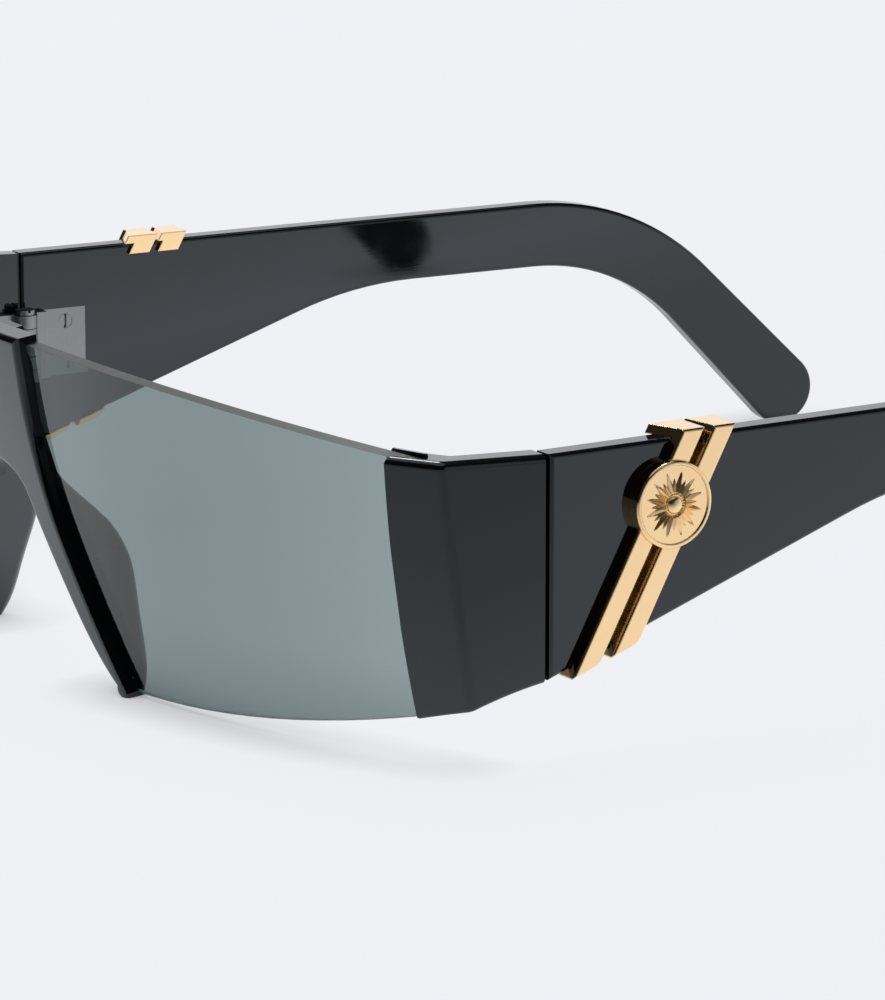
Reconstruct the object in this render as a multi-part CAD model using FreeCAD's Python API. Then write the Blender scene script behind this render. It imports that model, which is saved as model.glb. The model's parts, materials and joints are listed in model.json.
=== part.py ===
import FreeCAD, Part
import math
import os
from FreeCAD import Vector

# Shield sunglasses in millimetres. While the pieces are made, X runs to the wearer's left, Y from
# the front to the ears and Z up. Y is zero at the crest of the shield and Z is zero on the level
# top line of the temples. At the end all pieces move together, so that the origin is the middle of
# the footprint, on the table. Left means the wearer's left, on the plus X side.

# Shield: one cylinder-curved pane across both eyes
LENS_R = 125.0            # wrap radius of the outer face
LENS_TILT = 8.0           # lean in degrees, lower edge towards the face
LENS_T = 1.5              # thickness
LENS_CREST = 5.45         # top edge at the middle, measured along the slope
LENS_TOP_R = 284.0        # radius of the top edge
LENS_HEM = -35.8          # lowest stretch of the bottom edge, along the slope
LENS_HEM_X = 31.0         # distance of that stretch from the middle
LENS_HEM_R = 190.0        # radius of the bottom edge
LENS_INSET = 3.43         # end of the pane inside the front's outer face
LENS_TOE = 0.6            # pane's foot beside the nose arch
TABLE = -35.7             # table level under the temples' top line

# Bridge cover in front of the shield and nose saddle behind it
COVER_PROUD = 1.5         # cover's face in front of the shield
COVER_TOP = 6.2           # top of the cover along the slope
COVER_HALF = 10.0         # half width at the top
COVER_EDGE_R = 0.8        # rounded front edge
COVER_NECK = 1.5          # height at which the sides start to flare
COVER_FLARE_R = 45.0      # radius of the flare
COVER_FLARE = 24.5        # angle that the flare reaches, degrees
COVER_FOOT = (23.6, -35.5)  # outer corner of the leg's end, and the end's lowest point
COVER_TOE = (22.6, -36.5)
NOSE_RIM = 0.7            # cover's rim around the shield's notch
FIT = 0.05                # clearance where pieces are slipped together
SADDLE_T = 1.4            # saddle's plate behind the shield
SADDLE_TOP = 5.9          # top of the plate along the slope
SADDLE_CROWN = 4.0        # half width of the plate at its top
SADDLE_SHOULDER = 2.0     # height at which the plate reaches its full width
SADDLE_HALF = 6.8         # half width of the plate
SADDLE_NECK = -5.0        # height at which the plate widens towards the wings
SADDLE_HIP = (10.4, -15.0)
SADDLE_RIM = 0.1          # plate's edge over the nose arch
WING_T = 2.6              # width of each nose wing's section
BOSS_X = 4.4              # screw bosses of the cover, from the middle
BOSS_S = -2.0             # their height along the slope
BOSS_R = 1.7
SCREW_R = 0.6             # bridge and shield screws
SCREW_HEAD_R = 1.15
SCREW_HEAD_T = 0.6
SCREW_SHORT = 0.7         # bridge screw's tip behind the cover's face
SLOT_W = 0.35             # driver slots of all screws
SLOT_DEEP = 0.3

# Nose wing, section by section: height along the slope, nose side from the middle, depth of the rim
WING_SECTIONS = (
    (-10.6, 5.4, 3.6),
    (-14.5, 8.0, 5.4),
    (-18.5, 10.2, 7.9),
    (-22.2, 12.2, 8.7),
    (-28.0, 15.2, 7.6),
    (-33.5, 17.9, 6.4),
    (-36.6, 19.3, 4.9),
)

# Nose arch: distance from the middle, height along the slope, direction of the outward normal
NOSE_ARCH = (
    (2.9, -10.8, 90.0),
    (6.1, -12.3, 54.0),
    (8.2, -15.4, 28.0),
    (13.2, -24.2, 33.0),
    (21.1, -34.9, 40.0),
)

# End pieces
LIP_FRONT = 1.3           # lip in front of the shield
LIP_REAR = 1.4            # lip behind the shield
LIP_FRONT_OVER = 2.99     # front lip over the pane's end, along its curve
LIP_BOW = 0.44            # front lip's edge bows this far towards the middle
LIP_REAR_OVER = 3.86      # rear lip over the pane's end
CREASE_INSET = 0.13       # crease between front and side, inside the outer face at the hinge
CREASE_BACK = 1.594       # crease behind the pane's end
CREASE_R = 1.6
SIDE_T = 3.2              # thickness of the side plate and of the temple
SIDE_LONG = 13.7          # from the crease to the gap of the hinge
END_OVER = 0.575          # top edge above the pane's upper corner
END_LOW_FRONT = (-8.97, -4.15)  # lower edge's arc: in front of the pane's lower corner
END_LOW_MID = (1.03, 0.35)      # then just behind that corner
END_LOW_REAR = (4.84, 0.4)      # then behind the temple's lower front corner
END_EDGE_R = 0.9          # rounded top edge of the end pieces
EDGE_R = 0.55             # rounded lower edge of the end pieces, and edges of the temples
LENS_SCREW_IN = 1.46      # screw through both lips, from the pane's end along its curve
LENS_SCREW_S = -15.0
LENS_SCREW_TIP = 0.5      # its tip in the front lip

# Hinges
HINGE_OUT = 70.73         # outer face at the gap: half the width of the front
HINGE_Z = -12.5           # middle of the barrel
HINGE_TALL = 9.0
HINGE_SINK = 1.8          # barrel's axis inside the inner face
KNUCKLES = 5
KNUCKLE_R = 1.6
KNUCKLE_GAP = 0.1
KNUCKLE_LIFT = 0.5        # shoulder's inner side from the axis
PIN_R = 0.7
PIN_PLAY = 0.03
PIN_HEAD_R = 1.3
PIN_HEAD_T = 0.7
PIN_TAIL = 0.4            # tail under the lowest knuckle
BUTT_GAP = 0.4            # gap between end piece and temple when open
LEAF_T = 0.9
LEAF_LONG = 7.6
LEAF_CLEAR = 1.9          # leaf's edge from the axis
SHOULDER = 1.5            # ridge that carries the knuckles
LEAF_SCREW_R = 0.5
LEAF_SCREW_HEAD_R = 1.0
LEAF_SCREW_LONG = 2.3
LEAF_SCREW_Y = 4.71       # screws from the leaf's edge
LEAF_SCREW_Z = 2.7        # screws above and below the barrel's middle

# Temples
TOE_IN = 1.83             # degrees
TEMPLE_LOW = -26.3        # lower edge at the gap
TAPER = 0.343             # rise of the lower edge towards the ear
ARM_TALL = 9.0            # slender arm behind the taper
EAR_RUN = 78.84           # from the hinge to the start of the ear bend
EAR_R = 36.0              # bend radius of the arm's middle line
EAR_TURN = 45.0
TIP_TALL = 10.0           # rounded tip
BLEND_LONG = 9.0          # half length of the blend between taper and arm
CORE_T = 1.2              # steel core, across the temple
CORE_OFF = 0.2            # core's middle outside the temple's middle
CORE_TALL = 2.0
CORE_FRONT_Z = -13.0      # core's height at the gap
CORE_PLAY = 0.02
CORE_SUNK = 0.3           # core's front end inside the butt face
CORE_TURN = 36.0          # how far the core follows the ear bend, degrees

# Ornament: two leaning bars, the strip between them and a round medallion
BAR_LEAN = 28.4           # degrees, top towards the ear
BAR_W = 2.65
BAR_GROOVE = 1.1
BAR_SHIFT = 0.35          # middle of the groove from the medallion's centre, across the bars
BAR_PROUD = 1.3
BAR_TOP = 1.05            # bars above the temple's top edge
BAR_LOW = 0.75            # bars below the temple's lower edge
BAR_WRAP = 0.5            # hook on the inner face
BAR_WRAP_TALL = 1.4
BAR_FLARE = (1.4, 0.7)    # front and rear bar's hooks reach this far forward at the inner face
BAR_UNDER = 0.9           # thickness of a bar where it passes under the medallion
BAR_EDGE_R = 0.3
BAR_HEEL_R = 2.5          # rounded lower rear corner
STRIP_T = 0.3
STRIP_SHORT = 0.9         # strip's ends inside the temple's edges
STRIP_UNDER = 0.7         # strip's sides under the bars
STUD_R = 0.6
STUD_LONG = 1.7
STUD_AT = (-13.0, 4.2)    # studs along the bars from the medallion's centre
DISC_BACK = 15.94         # medallion's centre behind the hinge
DISC_Z = -7.4
DISC_R = 5.1
DISC_PROUD = 1.75
DISC_RIM = 0.5
DISC_SINK = 0.2           # field below the rim
ROSETTE_R = 3.9
ROSETTE_T = 0.7
ROSETTE_RAYS = 12
RAY_START = 0.9           # rays start this far from the centre
RAY_LIFT = 0.15           # axis of a ray over the dome at its start
RAY_IN_R = 0.2
RAY_OUT_R = 0.62
RAY_DROP = 0.14           # fall of a ray's axis for each step outwards

# Places that follow from the sizes above
TILT = math.radians(LENS_TILT)
LENS_END_X = HINGE_OUT - LENS_INSET
LENS_END_ANGLE = math.asin(LENS_END_X / LENS_R)
LENS_END_DEPTH = LENS_R * (1 - math.cos(LENS_END_ANGLE))
CREASE_X = HINGE_OUT - CREASE_INSET
CREASE_Y = LENS_END_DEPTH / math.cos(TILT) + CREASE_BACK
HINGE_Y = CREASE_Y + SIDE_LONG
EAR_Y = HINGE_Y + EAR_RUN
DISC_Y = HINGE_Y + DISC_BACK
INNER_X = HINGE_OUT - SIDE_T
AXIS_X = INNER_X - HINGE_SINK
CORE_X = HINGE_OUT - SIDE_T / 2 + CORE_OFF
PLAY_R = PIN_R + PIN_PLAY
SADDLE_BACK = LENS_T + SADDLE_T
LEAF_TALL = HINGE_TALL
REACH = 2 * HINGE_OUT     # cutting bodies reach past the whole front


def front_view(x, s):
    return Vector(x, 0, s)


def side_view(y, z):
    return Vector(0, y, z)


def outline(view, start, *steps):
    """Edges from a start point: one point is a line to it, two are an arc through the first."""
    edges = []
    here = view(*start)
    for step in steps:
        stops = [view(*point) for point in step]
        if len(stops) == 1:
            edges.append(Part.LineSegment(here, stops[0]).toShape())
        else:
            edges.append(Part.Arc(here, stops[0], stops[1]).toShape())
        here = stops[-1]
    return edges


def prism(edges, start, reach):
    """Solid that a closed outline sweeps from start along reach."""
    wire = Part.Wire(Part.__sortEdges__(edges))
    return Part.Face(wire).translated(start).extrude(reach)


def mirrored(shape):
    return shape.mirror(Vector(0, 0, 0), Vector(1, 0, 0))


def both_halves(edges):
    return edges + [mirrored(edge) for edge in edges]


def lean(shape):
    """Tip a shape from the shield's upright frame to the lean that the shield is worn at."""
    return shape.rotated(Vector(0, 0, 0), Vector(1, 0, 0), LENS_TILT)


def toe_in(shape):
    """Turn a straight temple's piece about the hinge axis to its resting direction."""
    return shape.rotated(Vector(AXIS_X, HINGE_Y, 0), Vector(0, 0, 1), TOE_IN)


def ring(outer, inner):
    """Upright shell about the shield's axis."""
    foot = Vector(0, LENS_R, -REACH)
    tube = Part.makeCylinder(outer, 2 * REACH, foot)
    return tube.cut(Part.makeCylinder(inner, 2 * REACH, foot))


def through_front(edges):
    """Outline of the front view, pushed through the shield."""
    return prism(edges, Vector(0, -REACH, 0), Vector(0, LENS_R + REACH, 0))


def middle_of(edge):
    low, high = edge.ParameterRange
    return edge.valueAt((low + high) / 2)


def rounded(shape, radius, test):
    return shape.makeFillet(radius, [edge for edge in shape.Edges if test(middle_of(edge))])


def off_axis(point):
    return math.hypot(point.x, point.y - LENS_R)


def nose(grow):
    """Nose arch's points, moved outwards by grow."""
    turned = [(x, s, math.radians(a)) for x, s, a in NOSE_ARCH]
    return [(x + grow * math.cos(a), s + grow * math.sin(a)) for x, s, a in turned]


def nose_curve(points):
    """One smooth edge over the nose, through points of one side and their mirror images."""
    side = [front_view(x, s) for x, s in points]
    curve = Part.BSplineCurve()
    curve.interpolate(side[::-1] + [front_view(-x, s) for x, s in points])
    return curve.toShape()


def lens_top(x):
    return LENS_CREST - LENS_TOP_R + math.sqrt(LENS_TOP_R ** 2 - x ** 2)


def lens_hem(x):
    return LENS_HEM + LENS_HEM_R - math.sqrt(LENS_HEM_R ** 2 - (x - LENS_HEM_X) ** 2)


def pane_angle(over):
    """Angle about the shield's axis at a distance along the curve from the pane's end."""
    return LENS_END_ANGLE - over / LENS_R


def pane_corner(s):
    """Side view of the pane's end at a height along the slope."""
    return (LENS_END_DEPTH * math.cos(TILT) - s * math.sin(TILT),
            LENS_END_DEPTH * math.sin(TILT) + s * math.cos(TILT))


def lens_outline(grow):
    """The pane's front view: each half from the crest round to the nose arch, and the arch."""
    end = LENS_END_X + grow
    arch = nose(NOSE_RIM - grow)
    toe = arch[4][0] + LENS_TOE
    half = outline(
        front_view, (0, LENS_CREST + grow),
        ((end / 2, lens_top(end / 2) + grow), (end, lens_top(end) + grow)),
        ((end, lens_hem(end) - grow),),
        ((LENS_HEM_X, LENS_HEM - grow), (toe, lens_hem(toe) - grow)), (arch[-1],))
    return both_halves(half) + [nose_curve(arch)]


def cover_outline():
    """The bridge's front view: straight neck, flared legs with rounded toes, and the nose arch."""
    arch = nose(0.0)
    flare = []
    for part in (0.5, 1.0):
        angle = part * math.radians(COVER_FLARE)
        sideways = COVER_FLARE_R * (1 - math.cos(angle))
        flare.append((COVER_HALF + sideways, COVER_NECK - COVER_FLARE_R * math.sin(angle)))
    out, down = COVER_FOOT[0] - flare[1][0], flare[1][1] - COVER_FOOT[1]
    bow = math.tan((math.atan2(out, down) - math.radians(COVER_FLARE)) / 2)
    knee = (flare[1][0] + (out - bow * down) / 2, flare[1][1] - (down + bow * out) / 2)
    half = outline(
        front_view, (0, COVER_TOP), ((COVER_HALF, COVER_TOP),), ((COVER_HALF, COVER_NECK),),
        tuple(flare), (knee, COVER_FOOT), (COVER_TOE, arch[-1]))
    return both_halves(half) + [nose_curve(arch)]


def saddle_outline():
    """The saddle plate's front view, hidden behind the cover."""
    arch = nose(SADDLE_RIM)[:3]
    half = outline(
        front_view, (0, SADDLE_TOP), ((SADDLE_CROWN, SADDLE_TOP),), ((SADDLE_HALF, SADDLE_SHOULDER),),
        ((SADDLE_HALF, SADDLE_NECK),), (SADDLE_HIP,), (arch[-1],))
    return both_halves(half) + [nose_curve(arch)]


def shield_lens():
    pane = through_front(lens_outline(0.0))
    pane = pane.common(ring(LENS_R, LENS_R - LENS_T))
    for x in (-BOSS_X, BOSS_X):
        pane = pane.cut(drilled(x, BOSS_R + FIT))
    pane = pane.cut(lens_screw_bore(SCREW_R + FIT))
    pane = pane.cut(mirrored(lens_screw_bore(SCREW_R + FIT)))
    return lean(pane)


def drilled(x, radius):
    """Straight bore through the bridge at one screw boss."""
    return Part.makeCylinder(radius, LENS_R, Vector(x, -LENS_R / 2, BOSS_S), Vector(0, 1, 0))


def bridge_cover():
    """Cover with a rim round the shield's notch and two bosses that pass through the shield."""
    block = through_front(cover_outline())
    face_r = LENS_R + COVER_PROUD
    block = block.common(ring(face_r, LENS_R - LENS_T))
    block = rounded(block, COVER_EDGE_R, lambda p: abs(off_axis(p) - face_r) < 0.01)
    pane = through_front(lens_outline(FIT))
    cover = block.cut(pane.common(ring(LENS_R, LENS_R - LENS_T - 1)))
    for x in (-BOSS_X, BOSS_X):
        boss = drilled(x, BOSS_R).common(ring(LENS_R, LENS_R - LENS_T))
        cover = cover.fuse(boss)
        cover = cover.cut(bridge_screw_shank(x, SCREW_R))
    return cut_at_table(lean(cover.removeSplitter()))


def cut_at_table(shape):
    """Flat feet on the table."""
    under = Part.makeBox(2 * REACH, 2 * REACH, REACH, Vector(-REACH, -REACH, TABLE - REACH))
    return shape.cut(under)


def bridge_screw_shank(x, radius):
    """Shank from the saddle's rear face to inside the cover."""
    depth = LENS_R - math.sqrt((LENS_R - SADDLE_BACK) ** 2 - x ** 2)
    tip = LENS_R - math.sqrt((LENS_R + COVER_PROUD - SCREW_SHORT) ** 2 - x ** 2)
    return Part.makeCylinder(radius, depth - tip, Vector(x, tip, BOSS_S), Vector(0, 1, 0))


def bridge_screw(x):
    """Pan-headed screw with a slot, on the saddle's rear face."""
    shank = bridge_screw_shank(x, SCREW_R)
    seat = shank.BoundBox.YMax - SCREW_HEAD_T
    head = Part.makeCylinder(SCREW_HEAD_R, SCREW_HEAD_T, Vector(x, seat, BOSS_S), Vector(0, 1, 0))
    slot = Part.makeBox(2 * SCREW_HEAD_R, 2 * SLOT_DEEP, SLOT_W,
                        Vector(x - SCREW_HEAD_R, seat + SCREW_HEAD_T - SLOT_DEEP, BOSS_S - SLOT_W / 2))
    return lean(shank.fuse(head).removeSplitter().cut(slot))


def nose_wing():
    """One wing: a smooth skin over level sections, each with a round rim towards the face."""
    half = WING_T / 2
    sections = []
    for s, x, depth in WING_SECTIONS:
        edges = outline(
            lambda u, v: Vector(u, v, s), (x, LENS_T), ((x, depth - half),),
            ((x + half, depth), (x + WING_T, depth - half)), ((x + WING_T, LENS_T),), ((x, LENS_T),))
        sections.append(Part.Wire(edges))
    wing = Part.makeLoft(sections, True, False)
    return wing.common(Part.makeCylinder(LENS_R - LENS_T, 2 * REACH, Vector(0, LENS_R, -REACH)))


def nose_saddle():
    """Plate behind the shield with two nose wings, drawn onto the cover by two screws."""
    plate = through_front(saddle_outline())
    plate = plate.common(ring(LENS_R - LENS_T, LENS_R - SADDLE_BACK))
    wing = nose_wing()
    saddle = plate.fuse([wing, mirrored(wing)]).removeSplitter()
    for x in (-BOSS_X, BOSS_X):
        shank = bridge_screw_shank(x, SCREW_R)
        seat = shank.BoundBox.YMax - SCREW_HEAD_T
        well = Part.makeCylinder(SCREW_HEAD_R, SADDLE_BACK, Vector(x, seat, BOSS_S), Vector(0, 1, 0))
        saddle = saddle.cut(shank.fuse(well))
    return cut_at_table(lean(saddle))


def lens_screw_bore(radius):
    """Bore square to the shield, inside the end piece's lips."""
    angle = pane_angle(LENS_SCREW_IN)
    inward = Vector(-math.sin(angle), math.cos(angle), 0)
    start = Vector(0, LENS_R, LENS_SCREW_S) - inward * (LENS_R + LENS_SCREW_TIP)
    return Part.makeCylinder(radius, LENS_SCREW_TIP + LENS_T + LIP_REAR, start, inward)


def lens_screw_head(radius, tall):
    angle = pane_angle(LENS_SCREW_IN)
    inward = Vector(-math.sin(angle), math.cos(angle), 0)
    seat = LENS_R - LENS_T - LIP_REAR + SCREW_HEAD_T
    start = Vector(0, LENS_R, LENS_SCREW_S) - inward * seat
    return Part.makeCylinder(radius, tall, start, inward)


def lens_screw():
    screw = lens_screw_bore(SCREW_R).fuse(lens_screw_head(SCREW_HEAD_R, SCREW_HEAD_T))
    return lean(screw.removeSplitter())


def end_plan(z):
    """Plan of the end piece at one height: the front part leans, the gap stays upright."""
    def on_shield(radius, over):
        angle = pane_angle(over)
        depth = LENS_R - radius * math.cos(angle)
        return Vector(radius * math.sin(angle), depth / math.cos(TILT) - z * math.tan(TILT), z)
    front = on_shield(LENS_R + LIP_FRONT, LIP_FRONT_OVER)
    rear = on_shield(LENS_R - LENS_T - LIP_REAR, LIP_REAR_OVER)
    slot = on_shield(LENS_R - LENS_T / 2, LIP_REAR_OVER)
    crease = Vector(CREASE_X, CREASE_Y - z * math.tan(TILT), z)
    front += (front - crease).normalize() * LIP_BOW / math.cos(LENS_END_ANGLE)
    slope = (crease.y - front.y) / (crease.x - front.x)
    inner = Vector(INNER_X, rear.y + slope * (INNER_X - rear.x), z)
    gap = HINGE_Y - BUTT_GAP / 2
    outer = Vector(HINGE_OUT, gap, z)
    before, middle, after = soft_corner(front, crease, outer, CREASE_R)
    stops = [after, outer, Vector(INNER_X, gap, z), inner, rear, slot, front, before]
    edges = [Part.Arc(before, middle, after).toShape()]
    for a, b in zip(stops, stops[1:]):
        edges.append(Part.LineSegment(a, b).toShape())
    return Part.Wire(edges)


def soft_corner(a, corner, b, radius):
    """Start, middle and end of the arc that rounds a corner."""
    to_a = (a - corner).normalize()
    to_b = (b - corner).normalize()
    half = to_a.getAngle(to_b) / 2
    inward = (to_a + to_b).normalize()
    cut = radius / math.tan(half)
    middle = corner + inward * (radius / math.sin(half) - radius)
    return corner + to_a * cut, middle, corner + to_b * cut


def end_trim():
    """Side view of the end piece: straight top edge, gap, arc of the lower edge and open front."""
    high = pane_corner(lens_top(LENS_END_X))
    low = pane_corner(lens_hem(LENS_END_X))
    slope = (high[1] + END_OVER) / (high[0] - HINGE_Y)
    front = low[0] + END_LOW_FRONT[0]
    rear = HINGE_Y + END_LOW_REAR[0]
    return outline(
        side_view, (front, slope * (front - HINGE_Y)), ((rear, slope * (rear - HINGE_Y)),),
        ((rear, TEMPLE_LOW + END_LOW_REAR[1]),),
        ((low[0] + END_LOW_MID[0], low[1] + END_LOW_MID[1]), (front, low[1] + END_LOW_FRONT[1])),
        ((front, slope * (front - HINGE_Y)),))


def lip_bow():
    """What the front lip's bowed edge leaves free of the shield."""
    edge = (LENS_R + LIP_FRONT) * math.sin(pane_angle(LIP_FRONT_OVER))
    high, low = lens_top(LENS_END_X), lens_hem(LENS_END_X)
    free = outline(
        front_view, (0, REACH), ((edge, REACH),), ((edge, high),),
        ((edge - LIP_BOW, (high + low) / 2), (edge, low)),
        ((edge, -REACH),), ((0, -REACH),), ((0, REACH),))
    return lean(through_front(free).common(ring(LENS_R + 2 * LIP_FRONT, LENS_R - LENS_T / 2)))


def end_piece():
    """Creased end piece with two lips for the shield and a pocket for the hinge leaf."""
    blank = Part.makeLoft([end_plan(LENS_CREST), end_plan(LENS_HEM)], True, True)
    trim = end_trim()
    across = Vector(REACH, 0, 0)
    blank = blank.common(prism(trim, Vector(0, 0, 0), across))
    outer = Part.makeCompound(outer_faces(blank))
    for edge, radius in ((trim[0], END_EDGE_R), (trim[2], EDGE_R)):
        rim = edge.extrude(across)
        blank = rounded(blank, radius, lambda p: on_shape(p, outer) and on_shape(p, rim))
    slot = ring(LENS_R + 0.01, LENS_R - LENS_T - 0.01)
    slot = lean(slot.common(Part.makeBox(LENS_END_X + FIT, LENS_R, 2 * REACH, Vector(0, 0, -REACH))))
    piece = blank.cut(slot).cut(lip_bow())
    piece = piece.cut(lean(lens_screw_bore(SCREW_R).fuse(lens_screw_head(SCREW_HEAD_R, REACH))))
    piece = piece.cut(leaf_pocket(-1))
    return piece.cut(leaf_screws(-1))


def on_shape(point, shape):
    return Part.Vertex(point).distToShape(shape)[0] < 0.01


def outer_faces(blank):
    """Outer front, crease and side faces of the end piece."""
    plan = end_plan(HINGE_Z).Edges
    spots = [middle_of(plan[i]) for i in (0, 1, 7)]
    return [face for face in blank.Faces if any(on_shape(spot, face) for spot in spots)]


def along(side, near, far):
    """Lower y and length of a span measured from the hinge axis towards the front or the ear."""
    return (HINGE_Y + near if side > 0 else HINGE_Y - far, far - near)


def leaf_pocket(side):
    """Pocket in the inner face that a hinge leaf is sunk into."""
    y, long = along(side, LEAF_CLEAR, LEAF_CLEAR + LEAF_LONG)
    return Part.makeBox(LEAF_T, long, LEAF_TALL, Vector(INNER_X, y, HINGE_Z - LEAF_TALL / 2))


def leaf_screws(side):
    """Two countersunk screws that hold one leaf, heads flush with it."""
    y = HINGE_Y + side * (LEAF_CLEAR + LEAF_SCREW_Y)
    screws = []
    for z in (HINGE_Z - LEAF_SCREW_Z, HINGE_Z + LEAF_SCREW_Z):
        start = Vector(INNER_X, y, z)
        shank = Part.makeCylinder(LEAF_SCREW_R, LEAF_SCREW_LONG, start, Vector(1, 0, 0))
        sink = LEAF_SCREW_HEAD_R - LEAF_SCREW_R
        head = Part.makeCone(LEAF_SCREW_HEAD_R, LEAF_SCREW_R, sink, start, Vector(1, 0, 0))
        screws.append(shank.fuse(head).removeSplitter())
    return Part.makeCompound(screws)


def slotted_leaf_screws(side):
    """Leaf screws with a driver slot in each head."""
    y = HINGE_Y + side * (LEAF_CLEAR + LEAF_SCREW_Y)
    slots = []
    for z in (HINGE_Z - LEAF_SCREW_Z, HINGE_Z + LEAF_SCREW_Z):
        corner = Vector(INNER_X, y - LEAF_SCREW_HEAD_R, z - SLOT_W / 2)
        slots.append(Part.makeBox(SLOT_DEEP, 2 * LEAF_SCREW_HEAD_R, SLOT_W, corner))
    return Part.makeCompound([screw.cut(Part.makeCompound(slots)) for screw in leaf_screws(side).Solids])


def knuckle_spans(first):
    """Bottom and height of every second knuckle, starting with the given one."""
    pitch = (HINGE_TALL + KNUCKLE_GAP) / KNUCKLES
    base = HINGE_Z - HINGE_TALL / 2
    return [(base + i * pitch, pitch - KNUCKLE_GAP) for i in range(first, KNUCKLES, 2)]


def hinge_leaf(side, first):
    """Leaf sunk in the inner face, with a shoulder and its knuckles."""
    y, long = along(side, LEAF_CLEAR, LEAF_CLEAR + LEAF_LONG)
    base = HINGE_Z - LEAF_TALL / 2
    plate = Part.makeBox(LEAF_T, long, LEAF_TALL, Vector(INNER_X, y, base))
    y, long = along(side, LEAF_CLEAR, LEAF_CLEAR + SHOULDER)
    lift = AXIS_X + KNUCKLE_LIFT
    ridge = Part.makeBox(INNER_X - lift, long, LEAF_TALL, Vector(lift, y, base))
    pieces = [ridge]
    y, long = along(side, 0.0, LEAF_CLEAR)
    for z, tall in knuckle_spans(first):
        pieces.append(Part.makeCylinder(KNUCKLE_R, tall, Vector(AXIS_X, HINGE_Y, z)))
        web = KNUCKLE_R - KNUCKLE_LIFT
        pieces.append(Part.makeBox(web, long, tall, Vector(lift, y, z)))
    leaf = plate.fuse(pieces).removeSplitter()
    foot = Vector(AXIS_X, HINGE_Y, HINGE_Z - HINGE_TALL)
    leaf = leaf.cut(Part.makeCylinder(PLAY_R, 2 * HINGE_TALL, foot))
    return leaf.cut(leaf_screws(side))


def hinge_pin():
    """Slotted hinge screw, its head on the top knuckle."""
    top = HINGE_Z + HINGE_TALL / 2
    long = HINGE_TALL + PIN_TAIL
    shank = Part.makeCylinder(PIN_R, long, Vector(AXIS_X, HINGE_Y, top - long))
    head = Part.makeCylinder(PIN_HEAD_R, PIN_HEAD_T, Vector(AXIS_X, HINGE_Y, top))
    corner = Vector(AXIS_X - PIN_HEAD_R, HINGE_Y - SLOT_W / 2, top + PIN_HEAD_T - SLOT_DEEP)
    slot = Part.makeBox(2 * PIN_HEAD_R, SLOT_W, 2 * SLOT_DEEP, corner)
    return shank.fuse(head).removeSplitter().cut(slot)


def taper_z(y):
    """Lower edge of the temple's wide front stretch."""
    return TEMPLE_LOW + TAPER * (y - HINGE_Y)


def ear_point(radius, turn):
    """Point of the ear bend at a radius and a turn in degrees."""
    angle = math.radians(turn)
    centre = -ARM_TALL / 2 - EAR_R
    return (EAR_Y + radius * math.sin(angle), centre + radius * math.cos(angle))


def temple_outline():
    """Level top, bend over the ear, rounded tip, slender arm and tapered lower edge."""
    half = ARM_TALL / 2
    tip = TIP_TALL / 2
    turn = math.radians(EAR_TURN)
    down = (math.cos(turn), -math.sin(turn))
    out = (math.sin(turn), math.cos(turn))
    bend = ear_point(EAR_R, EAR_TURN)
    run = (bend[1] - TABLE - tip) / math.sin(turn)
    end = (bend[0] + run * down[0], bend[1] + run * down[1])
    upper = (end[0] + tip * out[0], end[1] + tip * out[1])
    under = (end[0] - tip * out[0], end[1] - tip * out[1])
    far = (end[0] + tip * down[0], end[1] + tip * down[1])
    front = HINGE_Y + BUTT_GAP / 2
    meet = HINGE_Y + (-ARM_TALL - TEMPLE_LOW) / TAPER
    sagitta = TAPER * BLEND_LONG / 4
    return outline(
        side_view, (front, 0.0), ((EAR_Y, 0.0),),
        (ear_point(EAR_R + half, EAR_TURN / 2), ear_point(EAR_R + half, EAR_TURN)),
        (upper,), (far, under), (ear_point(EAR_R - half, EAR_TURN),),
        (ear_point(EAR_R - half, EAR_TURN / 2), (EAR_Y, -ARM_TALL)),
        ((meet + BLEND_LONG, -ARM_TALL),),
        ((meet, -ARM_TALL - sagitta), (meet - BLEND_LONG, taper_z(meet - BLEND_LONG))),
        ((front, taper_z(front)),), ((front, 0.0),))


def temple_plate(inner, outer):
    return prism(temple_outline(), Vector(inner, 0, 0), Vector(outer - inner, 0, 0))


def core(front, play):
    """Flat steel core from a given y: a straight run that leads into the ear bend."""
    half = CORE_TALL / 2 + play
    run = EAR_Y - HINGE_Y
    drop = CORE_FRONT_Z - ear_point(0.0, 0.0)[1]
    rise = math.asin(EAR_R / math.hypot(run, drop)) - math.atan2(drop, run)
    begin = (front, CORE_FRONT_Z + (front - HINGE_Y) * math.tan(rise))
    lift = (half * math.sin(rise), half * math.cos(rise))
    upper = (begin[0] - lift[0], begin[1] + lift[1])
    lower = (begin[0] + lift[0], begin[1] - lift[1])
    lead = -math.degrees(rise)
    stop = CORE_TURN + play
    edges = outline(
        side_view, upper, (ear_point(EAR_R + half, lead),),
        (ear_point(EAR_R + half, stop / 2), ear_point(EAR_R + half, stop)),
        (ear_point(EAR_R - half, stop),),
        (ear_point(EAR_R - half, stop / 2), ear_point(EAR_R - half, lead)),
        (lower,), (upper,))
    wide = CORE_T + 2 * play
    return prism(edges, Vector(CORE_X - wide / 2, 0, 0), Vector(wide, 0, 0))


def temple():
    """Temple plate with rounded edges, the core's channel, the leaf's pocket and the stud holes."""
    plate = temple_plate(INNER_X, HINGE_OUT)
    faces = (INNER_X, HINGE_OUT)
    plate = rounded(plate, EDGE_R, lambda p: min(abs(p.x - x) for x in faces) < 0.01)
    body = plate.cut(core(HINGE_Y, CORE_PLAY))
    body = body.cut(leaf_pocket(1))
    body = body.cut(leaf_screws(1))
    return body.cut(Part.makeCompound(studs()))


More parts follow.
